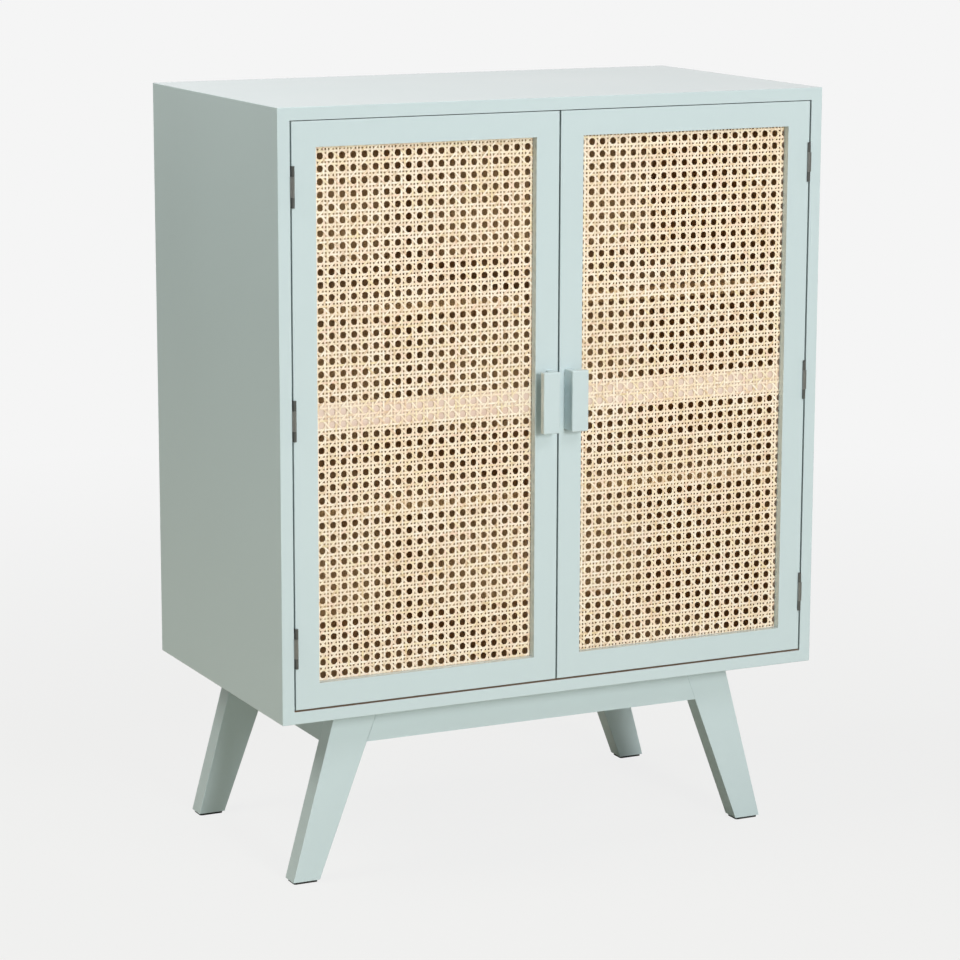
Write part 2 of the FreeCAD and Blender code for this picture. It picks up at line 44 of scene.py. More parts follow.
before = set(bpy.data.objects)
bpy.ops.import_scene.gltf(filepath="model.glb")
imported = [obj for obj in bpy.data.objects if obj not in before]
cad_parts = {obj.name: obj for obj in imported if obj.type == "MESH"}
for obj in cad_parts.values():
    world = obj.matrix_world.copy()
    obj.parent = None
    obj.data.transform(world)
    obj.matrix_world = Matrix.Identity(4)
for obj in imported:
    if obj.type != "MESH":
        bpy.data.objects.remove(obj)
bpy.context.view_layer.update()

SIDES = ("left", "right")
MM = 0.001
FLUSH = 0.00015          # a surface this near to a plane lies on it

# the room inside the carcass, between its four boards
SIDE_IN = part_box("right_side_panel")[0].x
ROOM_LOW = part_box("bottom_panel")[1].z
ROOM_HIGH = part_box("top_panel")[0].z
CARCASS_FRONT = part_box("top_panel")[0].y

# scales of the noises, in cells for each metre
PAINT_CLOUDS = 5.0
PAINT_SPECKLE = 700.0
PAINT_RIPPLE = 420.0
WOOD_FIBRES = 30.0
CANE_CLOUDS = 14.0
CANE_FLECKS = 95.0
CANE_PATCHES = 24.0      # these two along a strand only
CANE_TICKS = 90.0
CANE_STRAY = 75.0
METAL_PATCHES = 120.0
METAL_SCRATCHES = 2500.0
MOULD_PATCHES = 60.0
MOULD_GRIT = 1800.0
FLOOR_PATCHES = 1.5

# heights of bumps
FIBRE_HEIGHT = 0.08 * MM
STREAK_HEIGHT = 0.03 * MM
SCRATCH_HEIGHT = 0.01 * MM

COAT_ROUGHNESS = 0.25    # of the clear coat over the paint


def linear(red, green, blue):
    """A screen colour, 0 to 255, as the linear colour that Blender's sockets take."""
    def one(value):
        value /= 255
        return value / 12.92 if value <= 0.04045 else ((value + 0.055) / 1.055) ** 2.4
    return (one(red), one(green), one(blue), 1.0)


def scaled(tone, factor, lift=0.0):
    """A darker or paler colour."""
    return tuple(min(1.0, factor * part + lift) for part in tone[:3]) + (1.0,)


# ---- sizes and colours that a user would change -------------------------
def colour(name, description, default):
    return FloatVectorProperty(name=name, description=description, subtype="COLOR",
                               size=4, min=0, max=1, default=default)


def length(name, description, default):
    return FloatProperty(name=name, description=description, subtype="DISTANCE",
                         unit="LENGTH", min=0, default=default)


def share(name, description, default):
    return FloatProperty(name=name, description=description, subtype="FACTOR",
                         min=0, max=1, default=default)


def strength(name, description, default):
    return FloatProperty(name=name, description=description, min=0, default=default)


class CabinetPaint(bpy.types.PropertyGroup):
    tone: colour("Paint", "Colour of the painted boards", linear(201, 217, 220))
    roughness: share("Roughness", "How matt the paint is", 0.42)
    peel: length("Orange peel", "Height of the paint's fine ripple", 0.03 * MM)


class CabinetWood(bpy.types.PropertyGroup):
    board_pale: colour("Board", "Pale grain of the bare boards", linear(230, 198, 150))
    board_dark: colour("Board grain", "Dark grain of the bare boards", linear(192, 154, 106))
    batten_pale: colour("Batten", "Pale grain of the battens behind the cane", linear(238, 221, 208))
    batten_dark: colour("Batten grain", "Dark grain of those battens", linear(222, 193, 174))
    # painted shade: this colour multiplies the bare carcass floor just inside its front, in the gap under
    # the doors
    gap_shade: colour("Painted gap shade", "What darkens the carcass floor next to its front",
                       linear(184, 184, 232))
    gap_shade_depth: length("Gap shade depth", "How far that painted shade goes in", 12 * MM)
    painted_depth: length("Painted margin",
                          "How far the paint goes in past the carcass's front edges", 24 * MM)
    roughness: share("Roughness", "How matt the bare wood is", 0.62)


class CabinetCane(bpy.types.PropertyGroup):
    pitch_across: length("Pitch across", "From one hole to the next in a row", 14.0 * MM)
    pitch_up: length("Pitch up", "From one row of holes to the next", 14.9 * MM)
    left_hole_across: length("Left door's hole",
                             "Middle of the cabinet to a hole of the left door", 303.5 * MM)
    left_hole_up: length("Left door's hole, up", "Floor to that hole", 881.5 * MM)
    right_hole_across: length("Right door's hole",
                              "Middle of the cabinet to a hole of the right door", 34.2 * MM)
    right_hole_up: length("Right door's hole, up", "Floor to that hole", 884.0 * MM)
    width: length("Strand width", "Width of an upright or level strand", 2.45 * MM)
    diagonal_width: length("Diagonal width", "Width of a diagonal strand", 2.3 * MM)
    thickness: length("Strand thickness", "Thickness of a strand", 0.28 * MM)
    pair_share: share("Pair", "Middle of a pair to each strand, in cells", 0.152)
    rise: length("Rise", "How far an upright or level strand goes over and under", 0.17 * MM)
    diagonal_rise: length("Diagonal rise", "How far a diagonal strand goes over and under", 0.36 * MM)
    wander: length("Wander", "How far a strand strays from its line", 0.95 * MM)
    seed: IntProperty(name="Seed", description="Starts the weave's random draws", default=4, min=0)
    pale: colour("Pale cane", "Colour of the palest strands", linear(255, 248, 232))
    warm: colour("Warm cane", "Colour of the warmest strands", linear(252, 234, 208))
    rose: colour("Rose patches", "Colour of the reddish stretches", linear(246, 208, 186))
    straw: colour("Straw patches", "Colour of the yellow stretches", linear(240, 222, 166))
    # on a strand's edges this colour is partly painted shade between strands; it also colours the ticks
    edge: colour("Edges", "Colour of the cut edges of a strand", linear(212, 177, 135))
    fleck: colour("Flecks", "Colour of the nodes and stains", linear(176, 132, 88))
    roughness: share("Roughness", "How matt the cane is", 0.55)


class CabinetMetal(bpy.types.PropertyGroup):
    nickel: colour("Nickel", "Colour of the pins, strike plates and the hinges' carcass leaves",
                   linear(156, 156, 154))
    # painted shade: darker than the nickel, for the shaded side of the hinges' barrels by the doors
    worn_nickel: colour("Nickel with painted shade", "Colour of the hinges' door leaves", linear(122, 123, 122))
    zinc: colour("Zinc", "Colour of the screws", linear(172, 172, 169))
    roughness: share("Roughness", "How matt the metal is", 0.36)


class CabinetStage(bpy.types.PropertyGroup):
    lens: length("Lens", "Focal length of the camera", 123.18 * MM)
    backdrop: colour("Backdrop", "Colour of the studio behind the cabinet", linear(245, 245, 245))
    floor: colour("Floor", "Colour of the studio floor", linear(196, 197, 185))
    shade: colour("Shade", "Colour of the light from all round", (1.0, 0.94, 0.80, 1.0))
    sky: strength("Sky", "Strength of the light from all round", 0.08)
    front_light: strength("Front light", "Power of the low light before the doors", 54.0)
    key_light: strength("Key light", "Power of the light above it", 55.5)
    high_light: strength("High light", "Power of the high light before the doors", 37.0)
    side_tint: colour("Side tint", "Colour of the side and corner lights", (1.0, 1.0, 0.93, 1.0))
    side_light: strength("Side light", "Power of the light on the left side", 47.0)
    shoulder_light: strength("Shoulder light", "Power of the light over the top's left end", 7.0)
    right_light: strength("Right light", "Power of the light on the right side", 26.0)
    back_light: strength("Back light", "Power of the light behind the cabinet", 34.0)
    corner_light: strength("Corner light", "Power of the light between those two", 16.0)


def settings(name):
    return getattr(bpy.context.scene, "cabinet_" + name)


# ---- building node trees ------------------------------------------------
def new_tree(name, kind, inputs, outputs):
    """A node group, and its inputs by name. An input is (name, socket type, default)."""
    tree = bpy.data.node_groups.new(name, kind)
    for label, socket, default in inputs:
        item = tree.interface.new_socket(label, in_out="INPUT", socket_type=socket)
        if default is not None:
            item.default_value = default
    for label, socket in outputs:
        tree.interface.new_socket(label, in_out="OUTPUT", socket_type=socket)
    given = tree.nodes.new("NodeGroupInput")
    return tree, given.outputs


def put_out(tree, **results):
    """Links each result to the group's output of that name."""
    out = tree.nodes.new("NodeGroupOutput")
    for label, socket in results.items():
        tree.links.new(socket, out.inputs[label])


def place(tree, kind, feeds=None, **values):
    """Adds a node. Each of its inputs in feeds gets a value, or a link from an output."""
    node = tree.nodes.new(kind)
    for key, value in values.items():
        setattr(node, key, value)
    for key, value in (feeds or {}).items():
        if isinstance(value, bpy.types.NodeSocket):
            tree.links.new(value, node.inputs[key])
        else:
            node.inputs[key].default_value = value
    return node


def position(tree, vector):
    """The X, Y and Z of a vector, by name or in that order."""
    return place(tree, "ShaderNodeSeparateXYZ", {"Vector": vector}).outputs


def vector_of(tree, **parts):
    """The vector whose X, Y and Z are the parts, or zero where none is given."""
    return place(tree, "ShaderNodeCombineXYZ", parts).outputs["Vector"]


def maths(tree, operation, *values):
    return place(tree, "ShaderNodeMath", dict(enumerate(values)), operation=operation).outputs["Value"]


def vectors(tree, operation, *values):
    node = place(tree, "ShaderNodeVectorMath", dict(enumerate(values)), operation=operation)
    return node.outputs["Value" if operation in ("DISTANCE", "LENGTH") else "Vector"]


def noise(tree, vector, scale, detail=2.0, roughness=0.5, distortion=0.0):
    feeds = {"Vector": vector, "Scale": scale, "Detail": detail,
             "Roughness": roughness, "Distortion": distortion}
    return place(tree, "ShaderNodeTexNoise", feeds).outputs["Fac"]


def ranged(tree, value, low, high, to_low=0.0, to_high=1.0):
    feeds = {"Value": value, "From Min": low, "From Max": high, "To Min": to_low, "To Max": to_high}
    return place(tree, "ShaderNodeMapRange", feeds).outputs["Result"]


def spread(tree, value, low, high):
    """A noise's usual values, 0.3 to 0.7, spread from low to high."""
    return ranged(tree, value, 0.3, 0.7, low, high)


def mixed_colour(tree, amount, first, second, blend="MIX"):
    """Mix node for colours: its A and B for colours are inputs 6 and 7, its result output 2."""
    feeds = {0: amount, 6: first, 7: second}
    return place(tree, "ShaderNodeMix", feeds, data_type="RGBA", blend_type=blend).outputs[2]


def grouped(tree, group, **feeds):
    """Places a node group; a name's underscores stand for spaces."""
    kind = "GeometryNodeGroup" if group.bl_idname == "GeometryNodeTree" else "ShaderNodeGroup"
    named = {key.replace("_", " "): value for key, value in feeds.items()}
    return place(tree, kind, named, node_tree=group).outputs


def once(make):
    """A tree or material is made the first time it is asked for."""
    made = {}

    def ask(*choice):
        if choice not in made:
            made[choice] = make(*choice)
        return made[choice]
    return ask


# ---- effects shared by several materials --------------------------------
SPECKLE_SHARE = 0.25               # of the paint's speckle, beside its clouds
PAINT_SHEEN = 0.04                 # how far the paint's roughness swings
RING_STRETCH = (0.5, 6.0, 6.0)     # how dense the wood's noises are, along the grain and across
FIBRE_STRETCH = (1.0, 40.0, 40.0)
RING_SHARE = 0.75
FIBRE_SHARE = 0.45
GRAIN_RANGE = (0.38, 0.82)         # from pale to dark grain


@once
def paint_film():
    """Sprayed paint: a cloudy tone, a fine speckle, and the ripple of the film."""
    tree, given = new_tree("Paint film", "ShaderNodeTree", [
        ("Vector", "NodeSocketVector", None),
        ("Color", "NodeSocketColor", None),
        ("Clouding", "NodeSocketFloat", 0.05),
    ], [("Color", "NodeSocketColor"), ("Roughness", "NodeSocketFloat"), ("Height", "NodeSocketFloat")])
    clouds = noise(tree, given["Vector"], PAINT_CLOUDS, detail=3.0)
    speckle = noise(tree, given["Vector"], PAINT_SPECKLE, detail=1.0)
    tone = maths(tree, "MULTIPLY_ADD", speckle, SPECKLE_SHARE, clouds)
    mean = 0.5 * (1 + SPECKLE_SHARE)
    swing = maths(tree, "MULTIPLY", given["Clouding"], 0.5)
    factor = maths(tree, "MULTIPLY_ADD", maths(tree, "SUBTRACT", tone, mean), swing, 1.0)
    put_out(tree, Color=vectors(tree, "MULTIPLY", given["Color"], factor),
            Roughness=spread(tree, clouds, -PAINT_SHEEN, PAINT_SHEEN),
            Height=noise(tree, given["Vector"], PAINT_RIPPLE))
    return tree


@once
def wood_grain():
    """Wood whose grain runs along X: broad rings, fine fibres, and their height."""
    tree, given = new_tree("Wood grain", "ShaderNodeTree", [
        ("Vector", "NodeSocketVector", None),
        ("Pale", "NodeSocketColor", None),
        ("Dark", "NodeSocketColor", None),
        ("Rings", "NodeSocketFloat", 9.0),
    ], [("Color", "NodeSocketColor"), ("Height", "NodeSocketFloat")])
    lengthwise = vectors(tree, "MULTIPLY", given["Vector"], RING_STRETCH)
    rings = noise(tree, lengthwise, given["Rings"], detail=5.0, roughness=0.6, distortion=0.8)
    fine = vectors(tree, "MULTIPLY", given["Vector"], FIBRE_STRETCH)
    fibres = noise(tree, fine, WOOD_FIBRES, detail=3.0, roughness=0.7)
    broad = maths(tree, "MULTIPLY", rings, RING_SHARE)
    grain = maths(tree, "MULTIPLY_ADD", fibres, FIBRE_SHARE, broad)
    amount = ranged(tree, grain, *GRAIN_RANGE)
    put_out(tree, Color=mixed_colour(tree, amount, given["Pale"], given["Dark"]), Height=fibres)
    return tree


@once
def carcass_room():
    """A mask that is 1 on every surface of the room inside the carcass."""
    tree, given = new_tree("Carcass room", "ShaderNodeTree", [
        ("Vector", "NodeSocketVector", None),
        ("Half width", "NodeSocketFloat", SIDE_IN),
        ("Front", "NodeSocketFloat", CARCASS_FRONT),
        ("Painted depth", "NodeSocketFloat", 0.0),
        ("Floor", "NodeSocketFloat", ROOM_LOW),
        ("Ceiling", "NodeSocketFloat", ROOM_HIGH),
        ("Margin", "NodeSocketFloat", FLUSH),
    ], [("Mask", "NodeSocketFloat")])
    at = position(tree, given["Vector"])
    out = maths(tree, "ABSOLUTE", at["X"])
    side = maths(tree, "ADD", given["Half width"], given["Margin"])
    front = maths(tree, "ADD", given["Front"], given["Painted depth"])
    floor = maths(tree, "SUBTRACT", given["Floor"], given["Margin"])
    ceiling = maths(tree, "ADD", given["Ceiling"], given["Margin"])
    mask = maths(tree, "LESS_THAN", out, side)
    for test, value, limit in (("GREATER_THAN", at["Y"], front), ("GREATER_THAN", at["Z"], floor),
                               ("LESS_THAN", at["Z"], ceiling)):
        mask = maths(tree, "MULTIPLY", mask, maths(tree, test, value, limit))
    put_out(tree, Mask=mask)
    return tree


# ---- materials ----------------------------------------------------------
FIBRE_DULLNESS = 0.1               # what the wood's fibres add to its roughness
STREAK_DULLNESS = 0.15             # and the cane's streaks to the cane's
STREAK_CELLS = (30.0, 9.0, 1.0)    # noise cells in a metre of strand, and across a strand
DRAW_SHARE = 0.5                   # of each strand's own tone in its warmth
STREAK_SHARE = 0.5
WARMTH_RANGE = (0.5, 1.3)          # from pale to warm cane
STRANDS_APART = 7.3                # between two strands in the noise of the patches
KINDS_APART = 5.0                  # and between two kinds of patches
PATCH_RANGE = (0.5, 0.75)
PATCH_DEPTH = 0.75
RIM_RANGE = (0.34, 0.5)            # where a strand's darker edge is, from its middle, in widths: its cut edge, and painted shade between strands
RIM_DEPTH = 0.6
FLECK_RANGE = (0.68, 0.8)
FLECK_DEPTH = 0.7
TARNISH_RANGE = (0.45, 0.8)
TARNISHED = 0.55                   # tarnished metal's share of the clean metal's colour
METAL_SHEEN = (-0.06, 0.12)        # how far the metal's roughness swings
SCRATCH_STRETCH = (1.0, 1.0, 0.05)
DUST_RANGE = (0.4, 0.75)
DUST_DEPTH = 0.6
DUST_PALER = 1.25                  # dusty plastic, beside the clean plastic's colour
DUST_LIFT = 0.01
MOULD_SHEEN = 0.05


def new_material(name):
    """A material, its tree, its Principled BSDF and its Object coordinates."""
    material = bpy.data.materials.new(name)
    material.use_nodes = True
    tree = material.node_tree
    coordinates = tree.nodes.new("ShaderNodeTexCoord").outputs["Object"]
    return material, tree, tree.nodes["Principled BSDF"], coordinates


def bumped(tree, surface, height, distance):
    bump = place(tree, "ShaderNodeBump", {"Height": height, "Distance": distance, "Strength": 1.0})
    tree.links.new(bump.outputs["Normal"], surface.inputs["Normal"])


def grained(tree, vector, grain, pale, dark):
    """Places the wood's grain along an axis of the cabinet, which is X or Z."""
    turns = {"X": (0, 0, 0), "Z": (0, math.pi / 2, 0)}
    turned = place(tree, "ShaderNodeMapping", {"Vector": vector, "Rotation": turns[grain]})
    return grouped(tree, wood_grain(), Vector=turned.outputs["Vector"], Pale=pale, Dark=dark)


def lacquered(surface):
    """A clear, nearly smooth coat over the paint."""
    surface.inputs["Coat Weight"].default_value = 1.0
    surface.inputs["Coat Roughness"].default_value = COAT_ROUGHNESS


def varied(tree, surface, base, change):
    """Roughness of base, plus a change that varies over the surface."""
    tree.links.new(maths(tree, "ADD", change, base), surface.inputs["Roughness"])


@once
def mint_paint():
    paint = settings("paint")
    material, tree, surface, at = new_material("mint_paint")
    film = grouped(tree, paint_film(), Vector=at, Color=paint.tone)
    tree.links.new(film["Color"], surface.inputs["Base Color"])
    varied(tree, surface, paint.roughness, film["Roughness"])
    bumped(tree, surface, film["Height"], paint.peel)
    lacquered(surface)
    return material


def bare_wood(name, grain, pale, dark):
    material, tree, surface, at = new_material(name + "_" + grain)
    figure = grained(tree, at, grain, pale, dark)
    tree.links.new(figure["Color"], surface.inputs["Base Color"])
    dulled = maths(tree, "MULTIPLY", figure["Height"], FIBRE_DULLNESS)
    varied(tree, surface, settings("wood").roughness, dulled)
    bumped(tree, surface, figure["Height"], FIBRE_HEIGHT)
    return material


@once
def bare_board(grain):
    wood = settings("wood")
    return bare_wood("bare_board", grain, wood.board_pale, wood.board_dark)


@once
def batten_wood(grain):
    wood = settings("wood")
    return bare_wood("batten_wood", grain, wood.batten_pale, wood.batten_dark)


@once
def carcass_finish(grain, painted_depth):
    """Mint outside and as far in as the painted depth, bare wood on the rest of the room."""
    paint, wood = settings("paint"), settings("wood")
    material, tree, surface, at = new_material("carcass_finish_" + grain)
    film = grouped(tree, paint_film(), Vector=at, Color=paint.tone)
    figure = grained(tree, at, grain, wood.board_pale, wood.board_dark)
    inside = grouped(tree, carcass_room(), Vector=at, Painted_depth=painted_depth)["Mask"]
    depth = position(tree, at)["Y"]
    # painted shade: the bare wood darkens towards the carcass's front, in the gap under the doors
    darkened = ranged(tree, depth, CARCASS_FRONT, CARCASS_FRONT + wood.gap_shade_depth, 1.0, 0.0)
    board = mixed_colour(tree, darkened, figure["Color"], wood.gap_shade, blend="MULTIPLY")
    tree.links.new(mixed_colour(tree, inside, film["Color"], board), surface.inputs["Base Color"])
    base = ranged(tree, inside, 0.0, 1.0, paint.roughness, wood.roughness)
    tree.links.new(maths(tree, "ADD", base, film["Roughness"]), surface.inputs["Roughness"])
    bumped(tree, surface, film["Height"], paint.peel)
    lacquered(surface)
    tree.links.new(maths(tree, "SUBTRACT", 1.0, inside), surface.inputs["Coat Weight"])
    return material


@once
def cane_strands():
    """Split cane.

    The strand UV map holds metres along a strand, and its number plus the share across it.
    """
    cane = settings("cane")
    material, tree, surface, at = new_material("cane_strands")
    laid = place(tree, "ShaderNodeUVMap", uv_map="strand").outputs["UV"]
    run, across, _ = position(tree, laid)
    number = maths(tree, "FLOOR", across)
    spaced = maths(tree, "MULTIPLY", number, STRANDS_APART)
    draw = place(tree, "ShaderNodeTexWhiteNoise", {"W": number}, noise_dimensions="1D").outputs["Value"]
    stretched = vectors(tree, "MULTIPLY", laid, STREAK_CELLS)
    streaks = noise(tree, stretched, 1.0, detail=3.0, roughness=0.7)
    clouds = noise(tree, at, CANE_CLOUDS, detail=3.0, roughness=0.6)
    streaked = maths(tree, "MULTIPLY_ADD", streaks, STREAK_SHARE, clouds)
    warmth = maths(tree, "MULTIPLY_ADD", draw, DRAW_SHARE, streaked)
    body = mixed_colour(tree, ranged(tree, warmth, *WARMTH_RANGE), cane.pale, cane.warm)
    kinds = ((CANE_PATCHES, cane.rose), (CANE_PATCHES, cane.straw), (CANE_TICKS, cane.edge))
    for kind, (cells, tint) in enumerate(kinds):
        spot = vector_of(tree, X=maths(tree, "MULTIPLY", run, cells), Y=spaced, Z=KINDS_APART * kind)
        amount = ranged(tree, noise(tree, spot, 1.0), *PATCH_RANGE, 0.0, PATCH_DEPTH)
        body = mixed_colour(tree, amount, body, tint)
    # the outer part of each strand's width darkens: partly the cut edge's own colour, partly painted shade
    # between strands
    rim = maths(tree, "ABSOLUTE", maths(tree, "SUBTRACT", maths(tree, "FRACT", across), 0.5))
    body = mixed_colour(tree, ranged(tree, rim, *RIM_RANGE, 0.0, RIM_DEPTH), body, cane.edge)
    spots = noise(tree, at, CANE_FLECKS, roughness=0.6)
    darkened = mixed_colour(tree, ranged(tree, spots, *FLECK_RANGE, 0.0, FLECK_DEPTH), body, cane.fleck)
    tree.links.new(darkened, surface.inputs["Base Color"])
    varied(tree, surface, cane.roughness, maths(tree, "MULTIPLY", streaks, STREAK_DULLNESS))
    bumped(tree, surface, streaks, STREAK_HEIGHT)
    return material


def metal(name, tone, roughness, metallic=1.0, tarnish=0.25):
    """Drawn and tumbled metal, with dull patches."""
    material, tree, surface, at = new_material(name)
    patches = noise(tree, at, METAL_PATCHES, detail=4.0, roughness=0.65)
    drawn = vectors(tree, "MULTIPLY", at, SCRATCH_STRETCH)
    scratches = noise(tree, drawn, METAL_SCRATCHES)
    amount = ranged(tree, patches, *TARNISH_RANGE, 0.0, tarnish)
    shaded = mixed_colour(tree, amount, tone, scaled(tone, TARNISHED))
    tree.links.new(shaded, surface.inputs["Base Color"])
    varied(tree, surface, roughness, spread(tree, patches, *METAL_SHEEN))
    surface.inputs["Metallic"].default_value = metallic
    bumped(tree, surface, scratches, SCRATCH_HEIGHT)
    return material


@once
def satin_nickel():
    finish = settings("metal")
    return metal("satin_nickel", tuple(finish.nickel), finish.roughness)


# the hinges' door leaves: painted shade makes them darker than the nickel, and their tarnish is stronger
@once
def worn_nickel():
    finish = settings("metal")
    return metal("worn_nickel", tuple(finish.worn_nickel), finish.roughness, tarnish=0.5)


@once
def zinc_steel():
    finish = settings("metal")
    return metal("zinc_steel", tuple(finish.zinc), finish.roughness)


@once
def ferrite():
    return metal("ferrite", linear(62, 62, 64), roughness=0.6, metallic=0.0)


def moulded(name, tone, roughness, grit):
    """Moulded plastic or rubber, a little dusty, with a fine grit."""
    material, tree, surface, at = new_material(name)
    patches = noise(tree, at, MOULD_PATCHES, detail=3.0)
    amount = ranged(tree, patches, *DUST_RANGE, 0.0, DUST_DEPTH)
    dusty = mixed_colour(tree, amount, tone, scaled(tone, DUST_PALER, DUST_LIFT))
    tree.links.new(dusty, surface.inputs["Base Color"])
    varied(tree, surface, roughness, spread(tree, patches, -MOULD_SHEEN, MOULD_SHEEN))
    bumped(tree, surface, noise(tree, at, MOULD_GRIT, detail=1.0), grit)
    return material


@once
def catch_plastic():
    return moulded("catch_plastic", linear(228, 224, 214), roughness=0.5, grit=0.02 * MM)


@once
def glide_rubber():
    return moulded("glide_rubber", linear(48, 47, 45), roughness=0.8, grit=0.06 * MM)


def finish_nodes(material, names):
    """Gives CAD nodes their material."""
    for name in names:
        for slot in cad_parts[name].material_slots:
            slot.material = material


def on_both(*names):
    return [side + "_" + name for side in SIDES for name in names]


# ---- the woven cane -----------------------------------------------------
CANE_EDGE = 0.5 * MM     # the weave stops this far inside its CAD panel
EDGE_PLAY = 1e-6         # a point this near to the sheet's edge is in the sheet
PROFILE_SIDES = 6
NUMBERS_APART = 200.0    # a set numbers its strands from its seed times this
SHARE_SPAN = 0.98        # what the share across a strand adds to its number, at most


@once
def strand_set():
    """One set of parallel strands, laid flat: X and Y in the sheet, Z out of it.

    Places are in cells of the weave. A strand is a row of points that the wave
    lifts and lowers, cut to the sheet, and swept with a flat six-sided profile.
    """
    tree, given = new_tree("Strand set", "GeometryNodeTree", [
        ("Strands", "NodeSocketInt", 1),
        ("Samples", "NodeSocketInt", 2),
        ("Corner hole", "NodeSocketVector", None),
        ("Pitch", "NodeSocketVector", None),
        ("Start", "NodeSocketVector", None),
        ("First strand", "NodeSocketFloat", None),
        ("Across", "NodeSocketVector", None),
        ("Along", "NodeSocketVector", None),
        ("Wave start", "NodeSocketFloat", None),
        ("Wave step", "NodeSocketFloat", None),
        ("Rise", "NodeSocketFloat", None),
        ("Width", "NodeSocketFloat", None),
        ("Thickness", "NodeSocketFloat", None),
        ("Wander", "NodeSocketFloat", None),
        ("Seed", "NodeSocketInt", None),
        ("Low", "NodeSocketVector", None),
        ("High", "NodeSocketVector", None),
    ], [("Mesh", "NodeSocketGeometry")])
    index = place(tree, "GeometryNodeInputIndex").outputs["Index"]
    strand = maths(tree, "FLOOR", maths(tree, "DIVIDE", index, given["Samples"]))
    sample = maths(tree, "FLOORED_MODULO", index, given["Samples"])
    numbered = maths(tree, "ADD", strand, given["First strand"])
    cell = vectors(tree, "MULTIPLY_ADD", given["Across"], numbered, given["Start"])
    cell = vectors(tree, "MULTIPLY_ADD", given["Along"], sample, cell)
    spot = vectors(tree, "MULTIPLY_ADD", cell, given["Pitch"], given["Corner hole"])

    angle = maths(tree, "MULTIPLY_ADD", sample, given["Wave step"], given["Wave start"])
    lift = maths(tree, "MULTIPLY", maths(tree, "SINE", angle), given["Rise"])
    stray = place(tree, "ShaderNodeTexNoise", {
        "Vector": spot, "W": given["Seed"], "Scale": CANE_STRAY, "Detail": 2.0,
    }, noise_dimensions="4D").outputs["Color"]
    # the noise, 0 to 1, becomes up to a wander to either side, in the sheet's plane
    stray = vectors(tree, "SUBTRACT", stray, (0.5, 0.5, 0.5))
    stray = vectors(tree, "MULTIPLY", stray, given["Wander"])
    stray = vectors(tree, "MULTIPLY_ADD", stray, (2.0, 2.0, 0.0), spot)
    points = place(tree, "GeometryNodePoints", {
        "Count": maths(tree, "MULTIPLY", given["Strands"], given["Samples"]),
        "Position": vectors(tree, "ADD", stray, vector_of(tree, Z=lift)),
    }).outputs["Points"]

    kept = place(tree, "GeometryNodeCaptureAttribute")
    kept.capture_items.new("INT", "Strand")
    tree.links.new(points, kept.inputs["Geometry"])
    tree.links.new(strand, kept.inputs["Strand"])
    held = vectors(tree, "MINIMUM", vectors(tree, "MAXIMUM", spot, given["Low"]), given["High"])
    outside = maths(tree, "GREATER_THAN", vectors(tree, "DISTANCE", held, spot), EDGE_PLAY)
    inside = place(tree, "GeometryNodeDeleteGeometry", {
        "Geometry": kept.outputs["Geometry"], "Selection": outside}, domain="POINT").outputs["Geometry"]
    curves = place(tree, "GeometryNodePointsToCurves", {
        "Points": inside, "Curve Group ID": kept.outputs["Strand"], "Weight": index}).outputs["Curves"]
    count = place(tree, "GeometryNodeSplineLength").outputs["Point Count"]
    stub = maths(tree, "LESS_THAN", count, 2)
    curves = place(tree, "GeometryNodeDeleteGeometry", {
        "Geometry": curves, "Selection": stub}, domain="CURVE").outputs["Geometry"]
    curves = place(tree, "GeometryNodeSetCurveNormal", {"Curve": curves}, mode="Z_UP").outputs["Curve"]

    run = place(tree, "GeometryNodeCaptureAttribute")
    run.capture_items.new("FLOAT", "Run")
    tree.links.new(curves, run.inputs["Geometry"])
    tree.links.new(place(tree, "GeometryNodeSplineParameter").outputs["Length"], run.inputs["Run"])

    ring = place(tree, "GeometryNodeCurvePrimitiveCircle", {
        "Resolution": PROFILE_SIDES, "Radius": 0.5}).outputs["Curve"]
    edge = place(tree, "GeometryNodeCaptureAttribute")
    edge.capture_items.new("FLOAT", "Share")
    tree.links.new(ring, edge.inputs["Geometry"])
    sideways = position(tree, place(tree, "GeometryNodeInputPosition").outputs["Position"])["X"]
    tree.links.new(maths(tree, "MULTIPLY_ADD", sideways, SHARE_SPAN, 0.5), edge.inputs["Share"])
    ring = place(tree, "GeometryNodeTransform", {
        "Geometry": edge.outputs["Geometry"],
        "Scale": vector_of(tree, X=given["Width"], Y=given["Thickness"])}).outputs["Geometry"]
    mesh = place(tree, "GeometryNodeCurveToMesh", {
        "Curve": run.outputs["Geometry"], "Profile Curve": ring, "Fill Caps": True}).outputs["Mesh"]
    mesh = place(tree, "GeometryNodeSetShadeSmooth", {
        "Geometry": mesh, "Shade Smooth": False}).outputs["Geometry"]

    number = maths(tree, "MULTIPLY_ADD", given["Seed"], NUMBERS_APART, kept.outputs["Strand"])
    across = maths(tree, "ADD", number, edge.outputs["Share"])
    mesh = place(tree, "GeometryNodeStoreNamedAttribute", {
        "Geometry": mesh, "Name": "strand", "Value": vector_of(tree, X=run.outputs["Run"], Y=across),
    }, data_type="FLOAT2", domain="CORNER").outputs["Geometry"]
    put_out(tree, Mesh=mesh)
    return tree


